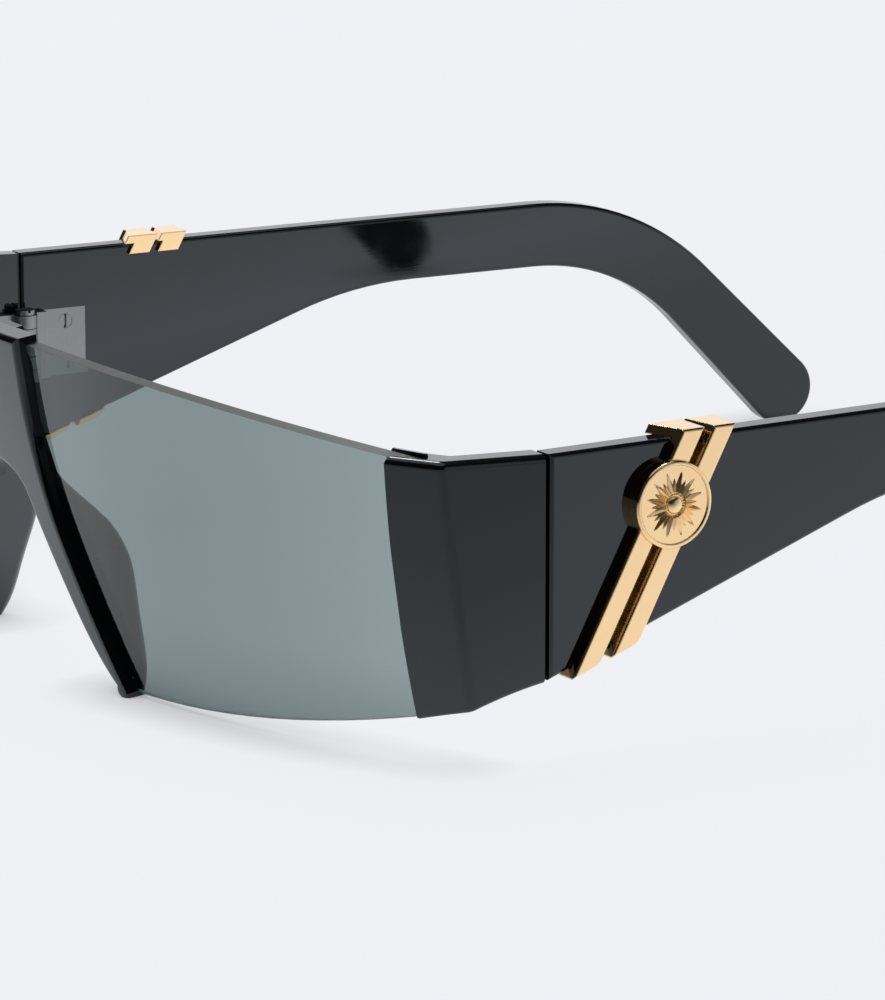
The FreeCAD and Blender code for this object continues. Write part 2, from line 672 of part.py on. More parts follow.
def across_bars(low, high):
    """Band square to the temple between two distances across the bars, seen from the side."""
    angle = math.radians(BAR_LEAN)
    up = (math.sin(angle), math.cos(angle))
    over = (math.cos(angle), -math.sin(angle))

    def at(along_bar, across):
        return (DISC_Y + up[0] * along_bar + over[0] * across,
                DISC_Z + up[1] * along_bar + over[1] * across)
    corners = [at(-REACH, low), at(REACH, low), at(REACH, high), at(-REACH, high)]
    return outline(side_view, corners[0], (corners[1],), (corners[2],), (corners[3],), (corners[0],))


def between_edges(over_top, under_low):
    """Side view between a level line over the top edge and a line along the lower edge."""
    near, far = HINGE_Y - DISC_BACK, DISC_Y + 2 * DISC_BACK
    return outline(
        side_view, (near, over_top), ((far, over_top),), ((far, taper_z(far) - under_low),),
        ((near, taper_z(near) - under_low),), ((near, over_top),))


def ornament_slab(low, high, over_top, under_low, inner, outer):
    """Leaning slab of the ornament between two planes across the temple."""
    start, reach = Vector(inner, 0, 0), Vector(outer - inner, 0, 0)
    band = prism(across_bars(low, high), start, reach)
    return band.common(prism(between_edges(over_top, under_low), start, reach))


def disc_drum(radius, inner, outer):
    return Part.makeCylinder(radius, outer - inner, Vector(inner, DISC_Y, DISC_Z), Vector(1, 0, 0))


def hook_flare(low, reach):
    """Wedge on the temple's top edge that carries a bar's hook forward at the inner face."""
    angle = math.radians(BAR_LEAN)
    rear = DISC_Y - DISC_Z * math.tan(angle) + low / math.cos(angle)
    inner = INNER_X - BAR_WRAP
    plan = [Vector(HINGE_OUT, rear, 0), Vector(inner, rear - reach, 0), Vector(inner, rear + reach, 0)]
    wedge = Part.Face(Part.makePolygon(plan + plan[:1]))
    return wedge.extrude(Vector(0, BAR_TOP * math.tan(angle), BAR_TOP))


def bar(low, reach):
    """One bar: a slab on the outer face, hooked over the top and under the lower edge."""
    slab = ornament_slab(low, low + BAR_W, BAR_TOP, BAR_LOW, INNER_X - BAR_WRAP, HINGE_OUT + BAR_PROUD)
    across = [edge for edge in slab.Edges if abs(edge.tangentAt(edge.FirstParameter).x) > 0.9]
    across.sort(key=lambda edge: middle_of(edge).z)
    slab = slab.makeFillet(BAR_HEEL_R, [across[1]])
    face = HINGE_OUT + BAR_PROUD
    slab = rounded(slab, BAR_EDGE_R, lambda p: abs(p.x - face) < 0.01)
    slab = slab.fuse(hook_flare(low, reach)).removeSplitter()
    slab = slab.cut(temple_plate(INNER_X, HINGE_OUT))
    below = Part.makeBox(INNER_X, EAR_Y, REACH, Vector(0, 0, -REACH - BAR_WRAP_TALL))
    slab = slab.cut(below)
    slab = slab.cut(strip_plate())
    return slab.cut(disc_drum(DISC_R, HINGE_OUT + BAR_UNDER, REACH))


def strip_plate():
    """Thin strip under the groove and the bars."""
    low = BAR_SHIFT - BAR_GROOVE / 2 - STRIP_UNDER
    high = BAR_SHIFT + BAR_GROOVE / 2 + STRIP_UNDER
    return ornament_slab(low, high, -STRIP_SHORT, -STRIP_SHORT, HINGE_OUT, HINGE_OUT + STRIP_T)


def studs():
    """Studs of the strip, sunk in the temple."""
    angle = math.radians(BAR_LEAN)
    posts = []
    for reach in STUD_AT:
        y = DISC_Y + reach * math.sin(angle) + BAR_SHIFT * math.cos(angle)
        z = DISC_Z + reach * math.cos(angle) - BAR_SHIFT * math.sin(angle)
        foot = Vector(HINGE_OUT - STUD_LONG, y, z)
        posts.append(Part.makeCylinder(STUD_R, STUD_LONG, foot, Vector(1, 0, 0)))
    return posts


def groove_strip():
    return strip_plate().fuse(studs()).removeSplitter()


def medallion():
    """Disc that straddles the bars, with a raised rim around a sunk field."""
    drum = disc_drum(DISC_R, HINGE_OUT, HINGE_OUT + DISC_PROUD)
    face = HINGE_OUT + DISC_PROUD
    drum = rounded(drum, BAR_EDGE_R, lambda p: abs(p.x - face) < 0.01)
    drum = drum.cut(disc_drum(DISC_R - DISC_RIM, face - DISC_SINK, REACH))
    low = BAR_SHIFT - BAR_GROOVE / 2 - BAR_W
    high = BAR_SHIFT + BAR_GROOVE / 2 + BAR_W
    channel = prism(across_bars(low, high), Vector(HINGE_OUT, 0, 0), Vector(BAR_UNDER, 0, 0))
    return drum.cut(channel)


def rosette():
    """Plain sunburst: a low dome with evenly spaced rays cut into it."""
    seat = HINGE_OUT + DISC_PROUD - DISC_SINK
    ball = (ROSETTE_R ** 2 + ROSETTE_T ** 2) / (2 * ROSETTE_T)
    centre = Vector(seat + ROSETTE_T - ball, DISC_Y, DISC_Z)
    dome = Part.makeSphere(ball, centre).common(disc_drum(DISC_R, seat, REACH))
    for i in range(ROSETTE_RAYS):
        angle = 2 * math.pi * i / ROSETTE_RAYS
        out = Vector(0, math.cos(angle), math.sin(angle))
        start = Vector(seat + ROSETTE_T + RAY_LIFT, DISC_Y, DISC_Z) + out * RAY_START
        ray = Part.makeCone(RAY_IN_R, RAY_OUT_R, ROSETTE_R, start, out - Vector(RAY_DROP, 0, 0))
        dome = dome.cut(ray)
    return dome


def one_side():
    """Pieces of the wearer's left side."""
    first = BAR_SHIFT - BAR_GROOVE / 2 - BAR_W
    second = BAR_SHIFT + BAR_GROOVE / 2
    return {
        "bridge_screw": bridge_screw(BOSS_X),
        "end_piece": end_piece(),
        "lens_screw": lens_screw(),
        "hinge_front_leaf": hinge_leaf(-1, 0),
        "hinge_front_leaf_screws": slotted_leaf_screws(-1),
        "hinge_pin": hinge_pin(),
        "hinge_temple_leaf": toe_in(hinge_leaf(1, 1)),
        "hinge_temple_leaf_screws": toe_in(slotted_leaf_screws(1)),
        "temple": toe_in(temple()),
        "temple_core": toe_in(core(HINGE_Y + BUTT_GAP / 2 + CORE_SUNK, 0.0)),
        "ornament_strip": toe_in(groove_strip()),
        "ornament_bar_front": toe_in(bar(first, BAR_FLARE[0])),
        "ornament_bar_rear": toe_in(bar(second, BAR_FLARE[1])),
        "medallion": toe_in(medallion()),
        "rosette": toe_in(rosette()),
    }


def main():
    nodes = {"shield_lens": shield_lens(), "bridge_cover": bridge_cover(), "nose_saddle": nose_saddle()}
    for name, shape in one_side().items():
        nodes[name + "_left"] = shape
        nodes[name + "_right"] = mirrored(shape)
    box = Part.makeCompound(list(nodes.values())).optimalBoundingBox(False)
    shift = Vector(0, -(box.YMin + box.YMax) / 2, -TABLE)
    print("moved by", shift)
    os.makedirs("parts", exist_ok=True)
    for name, shape in nodes.items():
        placed = shape.translated(shift)
        print(name, placed.isValid(), len(placed.Solids), round(placed.Volume, 2))
        placed.exportStep(os.path.join("parts", name + ".step"))


main()
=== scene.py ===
"""Shield sunglasses: finishes, fine pieces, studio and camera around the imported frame."""

import json
import logging
import math
from dataclasses import dataclass, field
from enum import Enum
from typing import Any, ClassVar, Iterable, Optional, Union

import bmesh
import bpy
from mathutils import Euler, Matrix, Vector

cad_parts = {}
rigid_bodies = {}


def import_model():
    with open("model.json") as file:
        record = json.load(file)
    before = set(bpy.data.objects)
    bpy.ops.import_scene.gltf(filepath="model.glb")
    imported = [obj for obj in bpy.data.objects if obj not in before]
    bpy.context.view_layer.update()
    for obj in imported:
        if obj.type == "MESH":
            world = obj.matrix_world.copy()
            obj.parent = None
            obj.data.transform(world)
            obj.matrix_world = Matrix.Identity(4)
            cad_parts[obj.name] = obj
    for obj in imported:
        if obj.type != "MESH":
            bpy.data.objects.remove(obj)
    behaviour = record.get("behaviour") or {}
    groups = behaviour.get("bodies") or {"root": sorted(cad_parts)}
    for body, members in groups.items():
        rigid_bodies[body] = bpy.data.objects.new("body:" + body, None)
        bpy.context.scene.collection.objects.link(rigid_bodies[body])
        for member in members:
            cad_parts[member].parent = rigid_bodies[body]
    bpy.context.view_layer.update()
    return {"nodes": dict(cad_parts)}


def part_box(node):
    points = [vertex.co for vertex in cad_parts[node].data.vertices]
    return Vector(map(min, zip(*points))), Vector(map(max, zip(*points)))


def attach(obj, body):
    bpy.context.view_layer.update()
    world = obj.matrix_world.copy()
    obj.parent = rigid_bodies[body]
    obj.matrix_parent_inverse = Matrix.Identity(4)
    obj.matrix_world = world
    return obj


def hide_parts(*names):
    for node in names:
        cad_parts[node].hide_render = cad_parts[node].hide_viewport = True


LOG = logging.getLogger("sunglasses")
MM = 0.001
TOE_IN = math.radians(1.83)
SHARP_ANGLE = math.radians(38.0)
MERGE_DISTANCE = 1e-7
FULL_TURN = 2 * math.pi

Socket = bpy.types.NodeSocket
Value = Union[float, int, bool, str, tuple, Socket]


class Side(Enum):
    """The wearer's sides, with the direction that each one's outer face looks."""

    LEFT = 1
    RIGHT = -1

    @property
    def tag(self) -> str:
        """Ending of this side's node names."""
        return self.name.lower()

    @property
    def body(self) -> str:
        """Body that swings on this side's hinge."""
        return f"{self.tag}_temple"


class Look(Enum):
    """Looks of the pieces, each with the name of its material."""

    BLACK = "polished_black"
    SATIN = "satin_black"
    GOLD = "pale_gold"
    RELIEF = "relief_gold"
    SHADED = "shaded_gold"
    STEEL = "turned_steel"
    PANE = "tinted_pane"


class Tree:
    """Builds a node tree: adds nodes, sets their sockets and joins them."""

    def __init__(self, tree: bpy.types.NodeTree) -> None:
        """Start from an empty tree.

        Args:
            tree: the node tree to fill.
        """
        self.tree = tree
        tree.nodes.clear()

    def add(self, kind: str, inputs: Optional[dict] = None, **settings: Any) -> bpy.types.Node:
        """Add one node.

        Args:
            kind: Blender's type name of the node.
            inputs: value or socket for each input, by name or place.
            settings: properties of the node itself.

        Returns:
            The new node.
        """
        node = self.tree.nodes.new(kind)
        for name, value in settings.items():
            setattr(node, name, value)
        for key, value in (inputs or {}).items():
            self.feed(node.inputs[key], value)
        return node

    def feed(self, socket: Socket, value: Value) -> None:
        """Join a socket to another, or set its own value."""
        if isinstance(value, bpy.types.NodeSocket):
            self.tree.links.new(value, socket)
        else:
            socket.default_value = value

    def math(self, operation: str, *values: Value, clamp: bool = False) -> Socket:
        """Add a Math node.

        Args:
            operation: Blender's name of the operation.
            values: its operands.
            clamp: keep the result between 0 and 1.

        Returns:
            Its result.
        """
        node = self.add(
            "ShaderNodeMath", dict(enumerate(values)), operation=operation, use_clamp=clamp)
        return node.outputs[0]

    def dot(self, first: Socket, second: Value) -> Socket:
        """Multiply two vectors to a number."""
        node = self.add("ShaderNodeVectorMath", {0: first, 1: second}, operation="DOT_PRODUCT")
        return node.outputs["Value"]

    def span(self, value: Socket, low: float, high: float, smooth: bool = False) -> Socket:
        """Map low..high of a value to 0..1, held at both ends."""
        node = self.add("ShaderNodeMapRange", {"Value": value, "From Min": low, "From Max": high})
        node.interpolation_type = "SMOOTHSTEP" if smooth else "LINEAR"
        return node.outputs["Result"]

    def curve(self, value: Socket, stops: tuple) -> Socket:
        """Follow a line through stops.

        Args:
            value: where on the line.
            stops: place and height of each stop, in order.

        Returns:
            The line's height there.
        """
        low, high = stops[0][0], stops[-1][0]
        tall = max(height for _, height in stops)
        ramp = self.add("ShaderNodeValToRGB", {"Fac": self.span(value, low, high)})
        points = ramp.color_ramp.elements
        while len(points) < len(stops):
            points.new(0.5)
        for point, (place, height) in zip(points, stops):
            point.position = (place - low) / (high - low)
            point.color = (height / tall, height / tall, height / tall, 1.0)
        return self.math("MULTIPLY", ramp.outputs["Color"], tall)

    def blend(self, factor: Value, first: Value, second: Value) -> Socket:
        """Mix two colours."""
        node = self.add("ShaderNodeMix", data_type="RGBA")
        for place, value in ((0, factor), (6, first), (7, second)):
            self.feed(node.inputs[place], value)
        return node.outputs[2]

    def group(self, tree: bpy.types.NodeTree, inputs: dict) -> bpy.types.Node:
        """Place a shader node group with its own values."""
        node = self.add("ShaderNodeGroup", node_tree=tree)
        for key, value in inputs.items():
            self.feed(node.inputs[key], value)
        return node


@dataclass
class Effects:
    """Shader effects that several finishes share, each one node group."""

    cloud_band: tuple = (0.35, 0.65)
    cloud_detail: float = 4.0
    line_detail: float = 3.0
    speck_band: tuple = (0.16, 0.04)
    bare_share: float = 0.86
    settling: float = 0.8
    edge_band: tuple = (0.995, 0.85)
    edge_samples: int = 4

    def __post_init__(self) -> None:
        """Build every group once."""
        self.polish = self._polish()
        self.hairlines = self._hairlines()
        self.dust = self._dust()
        self.soft_edge = self._soft_edge()

    @staticmethod
    def _new(
            name: str, inputs: Iterable[tuple[str, float]],
            outputs: Iterable[tuple[str, str]]) -> tuple:
        """Make an empty group.

        Args:
            name: the group's name.
            inputs: name and first value of each number that it takes.
            outputs: name and socket type of each result.

        Returns:
            The builder, the group's inputs and its output node.
        """
        group = bpy.data.node_groups.new(name, "ShaderNodeTree")
        for label, value in inputs:
            socket = group.interface.new_socket(
                label, in_out="INPUT", socket_type="NodeSocketFloat")
            socket.default_value = value
        for label, kind in outputs:
            group.interface.new_socket(label, in_out="OUTPUT", socket_type=kind)
        tree = Tree(group)
        source = tree.add("NodeGroupInput")
        sink = tree.add("NodeGroupOutput")
        return tree, source.outputs, sink

    def _polish(self) -> bpy.types.NodeTree:
        """Uneven polish: roughness drifts between two values over the surface."""
        tree, given, sink = self._new(
            "uneven_polish", (("Scale", 300.0), ("Low", 0.05), ("High", 0.1)),
            (("Roughness", "NodeSocketFloat"), ("Cloud", "NodeSocketFloat")))
        place = tree.add("ShaderNodeTexCoord").outputs["Object"]
        noise = tree.add("ShaderNodeTexNoise", {
            "Vector": place, "Scale": given["Scale"], "Detail": self.cloud_detail})
        cloud = tree.span(noise.outputs["Fac"], *self.cloud_band, smooth=True)
        reach = tree.math("SUBTRACT", given["High"], given["Low"])
        rough = tree.math("MULTIPLY_ADD", cloud, reach, given["Low"])
        tree.feed(sink.inputs["Roughness"], rough)
        tree.feed(sink.inputs["Cloud"], cloud)
        return tree.tree

    def _hairlines(self) -> bpy.types.NodeTree:
        """Fine polishing lines along the temples, as a height."""
        tree, given, sink = self._new(
            "polishing_hairlines", (("Scale", 9000.0), ("Stretch", 0.02)),
            (("Height", "NodeSocketFloat"),))
        place = tree.add("ShaderNodeTexCoord").outputs["Object"]
        squeeze = tree.add("ShaderNodeCombineXYZ", {"X": 1.0, "Y": given["Stretch"], "Z": 1.0})
        drawn = tree.add(
            "ShaderNodeVectorMath", {0: place, 1: squeeze.outputs[0]}, operation="MULTIPLY")
        noise = tree.add("ShaderNodeTexNoise", {
            "Vector": drawn.outputs[0], "Scale": given["Scale"], "Detail": self.line_detail})
        tree.feed(sink.inputs["Height"], noise.outputs["Fac"])
        return tree.tree

    def _dust(self) -> bpy.types.NodeTree:
        """Sparse fine specks, more of them on faces that look up."""
        tree, given, sink = self._new(
            "settled_dust", (("Scale", 1400.0), ("Amount", 0.2)), (("Mask", "NodeSocketFloat"),))
        place = tree.add("ShaderNodeTexCoord").outputs["Object"]
        cells = tree.add("ShaderNodeTexVoronoi", {"Vector": place, "Scale": given["Scale"]})
        speck = tree.span(cells.outputs["Distance"], *self.speck_band, smooth=True)
        pick = tree.add("ShaderNodeSeparateColor", {"Color": cells.outputs["Color"]})
        kept = tree.math("GREATER_THAN", pick.outputs["Red"], self.bare_share)
        normal = tree.add("ShaderNodeNewGeometry").outputs["Normal"]
        lift = tree.add("ShaderNodeSeparateXYZ", {"Vector": normal}).outputs["Z"]
        upward = tree.math(
            "MULTIPLY_ADD", tree.span(lift, 0.0, 1.0), self.settling, 1.0 - self.settling)
        mask = tree.math("MULTIPLY", tree.math("MULTIPLY", speck, kept), upward)
        tree.feed(sink.inputs["Mask"], tree.math("MULTIPLY", mask, given["Amount"], clamp=True))
        return tree.tree

    def _soft_edge(self) -> bpy.types.NodeTree:
        """Polished edges: a rounded normal and a mask along sharp edges."""
        tree, given, sink = self._new(
            "polished_edges", (("Radius", 0.00012),),
            (("Normal", "NodeSocketVector"), ("Mask", "NodeSocketFloat")))
        bevel = tree.add(
            "ShaderNodeBevel", {"Radius": given["Radius"]}, samples=self.edge_samples)
        rounded = bevel.outputs["Normal"]
        plain = tree.add("ShaderNodeNewGeometry").outputs["Normal"]
        tree.feed(sink.inputs["Normal"], rounded)
        tree.feed(sink.inputs["Mask"], tree.span(tree.dot(rounded, plain), *self.edge_band))
        return tree.tree


@dataclass(frozen=True)
class Finish:
    """What all finishes share: a look, and a material that starts with one shader."""

    look: Look

    def start(self) -> tuple[bpy.types.Material, Tree, bpy.types.Node, bpy.types.Node]:
        """Start the material.

        Returns:
            The material, its tree's builder, its shader and its output node.
        """
        material = bpy.data.materials.new(self.look.value)
        material.use_nodes = True
        tree = Tree(material.node_tree)
        shader = tree.add("ShaderNodeBsdfPrincipled")
        sink = tree.add("ShaderNodeOutputMaterial", {"Surface": shader.outputs[0]})
        return material, tree, shader, sink


@dataclass(frozen=True)
class Acetate(Finish):
    """Black acetate: deep colour under an even polish, with a little settled dust."""

    colour: tuple = (0.0080, 0.0092, 0.0112, 1.0)
    deep: tuple = (0.0062, 0.0072, 0.0090, 1.0)
    dusty: tuple = (0.16, 0.16, 0.165, 1.0)
    rough: tuple = (0.03, 0.06)
    ior: float = 1.62
    sheen: tuple = (0.86, 0.95, 1.0, 1.0)
    cloud_scale: float = 260.0
    dust_scale: float = 1500.0
    dust: float = 0.08
    line_scale: float = 7000.0
    line_stretch: float = 0.03
    line_height: float = 0.01
    line_depth: float = 0.1 * MM

    def build(self, effects: Effects) -> bpy.types.Material:
        """Make the material.

        Args:
            effects: the shared node groups.

        Returns:
            The finished material.
        """
        material, tree, shader, _ = self.start()
        polish = tree.group(effects.polish, {
            "Scale": self.cloud_scale, "Low": self.rough[0], "High": self.rough[1]})
        dust = tree.group(effects.dust, {"Scale": self.dust_scale, "Amount": self.dust})
        lines = tree.group(
            effects.hairlines, {"Scale": self.line_scale, "Stretch": self.line_stretch})
        bump = tree.add("ShaderNodeBump", {
            "Height": lines.outputs["Height"], "Strength": self.line_height,
            "Distance": self.line_depth})
        body = tree.blend(polish.outputs["Cloud"], self.deep, self.colour)
        body = tree.blend(dust.outputs["Mask"], body, self.dusty)
        rough = tree.math("ADD", polish.outputs["Roughness"], dust.outputs["Mask"], clamp=True)
        tree.feed(shader.inputs["Base Color"], body)
        tree.feed(shader.inputs["Roughness"], rough)
        tree.feed(shader.inputs["Normal"], bump.outputs["Normal"])
        shader.inputs["IOR"].default_value = self.ior
        shader.inputs["Specular Tint"].default_value = self.sheen
        return material


@dataclass(frozen=True)
class Plating(Finish):
    """Polished metal: pale gold on the ornaments, steel on hinges and screws.

    A finish with an edge radius has softly rounded edges, painted lighter along them
    where it names an edge colour: a painted edge sheen.
    """

    colour: tuple
    deep: tuple
    worn: Optional[tuple] = None
    rough: tuple = (0.05, 0.10)
    cloud_scale: float = 700.0
    line_scale: float = 12000.0
    line_stretch: float = 0.05
    line_height: float = 0.03
    line_depth: float = 0.05 * MM
    edge: float = 0.0

    def build(self, effects: Effects) -> bpy.types.Material:
        """Make the material.

        Args:
            effects: the shared node groups.

        Returns:
            The finished material.
        """
        material, tree, shader, _ = self.start()
        polish = tree.group(effects.polish, {
            "Scale": self.cloud_scale, "Low": self.rough[0], "High": self.rough[1]})
        lines = tree.group(
            effects.hairlines, {"Scale": self.line_scale, "Stretch": self.line_stretch})
        bump = tree.add("ShaderNodeBump", {
            "Height": lines.outputs["Height"], "Strength": self.line_height,
            "Distance": self.line_depth})
        plate = tree.blend(polish.outputs["Cloud"], self.deep, self.colour)
        if self.edge:
            edge = tree.group(effects.soft_edge, {"Radius": self.edge})
            tree.feed(bump.inputs["Normal"], edge.outputs["Normal"])
            # painted edge sheen: a lighter colour along the sharp edges
            plate = tree.blend(edge.outputs["Mask"], plate, self.worn or self.colour)
        tree.feed(shader.inputs["Base Color"], plate)
        tree.feed(shader.inputs["Roughness"], polish.outputs["Roughness"])
        tree.feed(shader.inputs["Normal"], bump.outputs["Normal"])
        shader.inputs["Metallic"].default_value = 1.0
        return material


@dataclass(frozen=True)
class TintedPane(Finish):
    """Grey-green pane: polished faces, ground edges and a tint that deepens through it.

    Its colour is darkest in the middle and lighter to the sides, a painted shade of what
    lies behind it, and darker again towards the bottom edge, a painted shade too. The rims
    that look up and down are painted darker: a painted shade.
    """

    tint: tuple = (0.462, 0.525, 0.506, 1.0)
    # painted shade: the pane's colour is darker towards its middle than at the sides
    deep: tuple = (0.350, 0.405, 0.395, 1.0)
    deepening: tuple = (0.025, 0.062)
    # painted shade: the pane is darker towards its bottom edge
    hem: tuple = (0.27, 0.32, 0.315, 1.0)
    hem_height: float = 0.013
    hem_share: float = 0.85
    # painted shade: darker colours for the rims that look up and down
    over: tuple = (0.17, 0.225, 0.24, 1.0)
    under: tuple = (0.02, 0.03, 0.03, 1.0)
    rim_band: tuple = (0.35, 0.65)
    rough: tuple = (0.0, 0.01)
    cloud_scale: float = 90.0
    cloud_share: float = 0.02
    dust_scale: float = 900.0
    dust: float = 0.05
    ground: float = 0.60
    edge_gloss: float = 0.10
    edge_rough: float = 0.2
    ior: float = 1.5
    absorb: tuple = (0.17, 0.33, 0.335, 1.0)
    density: float = 360.0

    def build(self, effects: Effects) -> bpy.types.Material:
        """Make the material.

        Args:
            effects: the shared node groups.

        Returns:
            The finished material.
        """
        material, tree, shader, sink = self.start()
        polish = tree.group(effects.polish, {
            "Scale": self.cloud_scale, "Low": self.rough[0], "High": self.rough[1]})
        normal = tree.add("ShaderNodeNewGeometry").outputs["Normal"]
        lift = tree.add("ShaderNodeSeparateXYZ", {"Vector": normal}).outputs["Z"]
        upward = tree.span(lift, *self.rim_band)
        downward = tree.span(lift, *(-bound for bound in self.rim_band))
        # painted shade on the rims that look up and down
        tint = tree.blend(upward, self._face_tint(tree, polish.outputs["Cloud"]), self.over)
        tree.feed(shader.inputs["Base Color"], tree.blend(downward, tint, self.under))
        dust = tree.group(effects.dust, {"Scale": self.dust_scale, "Amount": self.dust})
        rough = tree.math("ADD", polish.outputs["Roughness"], dust.outputs["Mask"])
        rim = tree.span(tree.math("ABSOLUTE", lift), *self.rim_band)
        rim = tree.math("MULTIPLY", rim, self.ground)
        tree.feed(shader.inputs["Roughness"], tree.math("ADD", rough, rim, clamp=True))
        tree.feed(shader.inputs["Coat Weight"], tree.math("MULTIPLY", upward, self.edge_gloss))
        shader.inputs["Coat Roughness"].default_value = self.edge_rough
        shader.inputs["IOR"].default_value = self.ior
        shader.inputs["Transmission Weight"].default_value = 1.0
        inside = tree.add(
            "ShaderNodeVolumeAbsorption", {"Color": self.absorb, "Density": self.density})
        tree.feed(sink.inputs["Volume"], inside.outputs[0])
        return material

    def _face_tint(self, tree: Tree, cloud: Socket) -> Socket:
        """Colour of the faces: tint with painted shade in the middle and near the bottom edge.

        Args:
            tree: the material's builder.
            cloud: a slow drift over the surface.

        Returns:
            The colour.
        """
        place = tree.add("ShaderNodeTexCoord").outputs["Object"]
        spot = tree.add("ShaderNodeSeparateXYZ", {"Vector": place}).outputs
        # painted shade: darker towards the middle of the pane, lighter to the sides
        aside = tree.span(tree.math("ABSOLUTE", spot["X"]), *self.deepening)
        drift_and_shade = tree.math(
            "MULTIPLY_ADD", cloud, self.cloud_share, tree.math("MULTIPLY", aside, aside),
            clamp=True)
        # painted shade towards the bottom edge of the pane
        low = tree.span(spot["Z"], self.hem_height, 0.0, smooth=True)
        low = tree.math("MULTIPLY", low, self.hem_share)
        return tree.blend(low, tree.blend(drift_and_shade, self.deep, self.tint), self.hem)


class Finishes:
    """Every finish of the sunglasses, built once."""

    def __init__(self) -> None:
        """Build the shared effects and the materials."""
        effects = Effects()
        self.materials = {finish.look: finish.build(effects) for finish in (
            Acetate(Look.BLACK),
            Acetate(Look.SATIN, rough=(0.20, 0.28), line_height=0.005, dust=0.03),
            Plating(
                Look.GOLD, colour=(0.99, 0.705, 0.390, 1.0), deep=(0.975, 0.685, 0.372, 1.0),
                edge=0.22 * MM),
            Plating(
                Look.RELIEF, colour=(0.98, 0.72, 0.40, 1.0), deep=(0.95, 0.68, 0.36, 1.0),
                rough=(0.24, 0.34)),
            # painted shade: the groove strip's gold is painted darker, as in the shade between
            # the bars
            Plating(
                Look.SHADED, colour=(0.56, 0.40, 0.13, 1.0), deep=(0.48, 0.33, 0.105, 1.0),
                rough=(0.18, 0.24), line_height=0.01),
            Plating(
                Look.STEEL, colour=(0.31, 0.315, 0.32, 1.0), deep=(0.26, 0.265, 0.272, 1.0),
                worn=(0.52, 0.52, 0.52, 1.0), rough=(0.30, 0.42), line_height=0.10,
                edge=0.06 * MM),
            TintedPane(Look.PANE))}

    def __getitem__(self, look: Look) -> bpy.types.Material:
        """Material of a look."""
        return self.materials[look]


def finish_shape(shape: bmesh.types.BMesh, mesh: bpy.types.Mesh) -> None:
    """Join a shape's doubled points, turn its faces outward and keep it in a mesh.

    Args:
        shape: the shape; it is freed.
        mesh: the mesh that takes it.
    """
    bmesh.ops.remove_doubles(shape, verts=shape.verts, dist=MERGE_DISTANCE)
    bmesh.ops.recalc_face_normals(shape, faces=shape.faces)
    shape.to_mesh(mesh)
    shape.free()


def add_object(name: str, data: Optional[bpy.types.ID]) -> bpy.types.Object:
    """Put a new object with the given data into the scene, at the origin.

    Args:
        name: its name.
        data: its mesh, lamp or camera.

    Returns:
        The new object.
    """
    thing = bpy.data.objects.new(name, data)
    bpy.context.scene.collection.objects.link(thing)
    return thing


def as_plain_mesh(maker: bpy.types.Object, name: str) -> bpy.types.Object:
    """Turn what an object's node tree makes into a plain mesh object.

    Args:
        maker: the object that carries the Geometry Nodes modifier; it is removed.
        name: name of the new piece.

    Returns:
        The new piece, at the origin.
    """
    bpy.context.view_layer.update()
    graph = bpy.context.evaluated_depsgraph_get()
    made = bpy.data.meshes.new_from_object(maker.evaluated_get(graph), depsgraph=graph)
    bpy.data.objects.remove(maker)
    shape = bmesh.new()
    shape.from_mesh(made)
    finish_shape(shape, made)
    made.shade_smooth()
    made.set_sharp_from_angle(angle=SHARP_ANGLE)
    return add_object(name, made)


def make_with(
        tree: bpy.types.NodeTree, values: dict,
        mesh: Optional[bpy.types.Mesh] = None) -> bpy.types.Object:
    """Put a Geometry Nodes tree on a new object with the given inputs.

    Args:
        tree: the node tree.
        values: value of each named input.
        mesh: mesh that the tree starts from, if it needs one.

    Returns:
        The object that carries the modifier.
    """
    maker = add_object("maker", mesh or bpy.data.meshes.new("maker"))
    modifier = maker.modifiers.new("shape", "NODES")
    modifier.node_group = tree
    for item in tree.interface.items_tree:
        if item.item_type == "SOCKET" and item.in_out == "INPUT" and item.name in values:
            modifier[item.identifier] = values[item.name]
    return maker


@dataclass(frozen=True)
class Ray:
    """One kind of ray: shares of the radius for its tip and taper, and its height's share."""

    tip: float
    taper: float
    tall: float


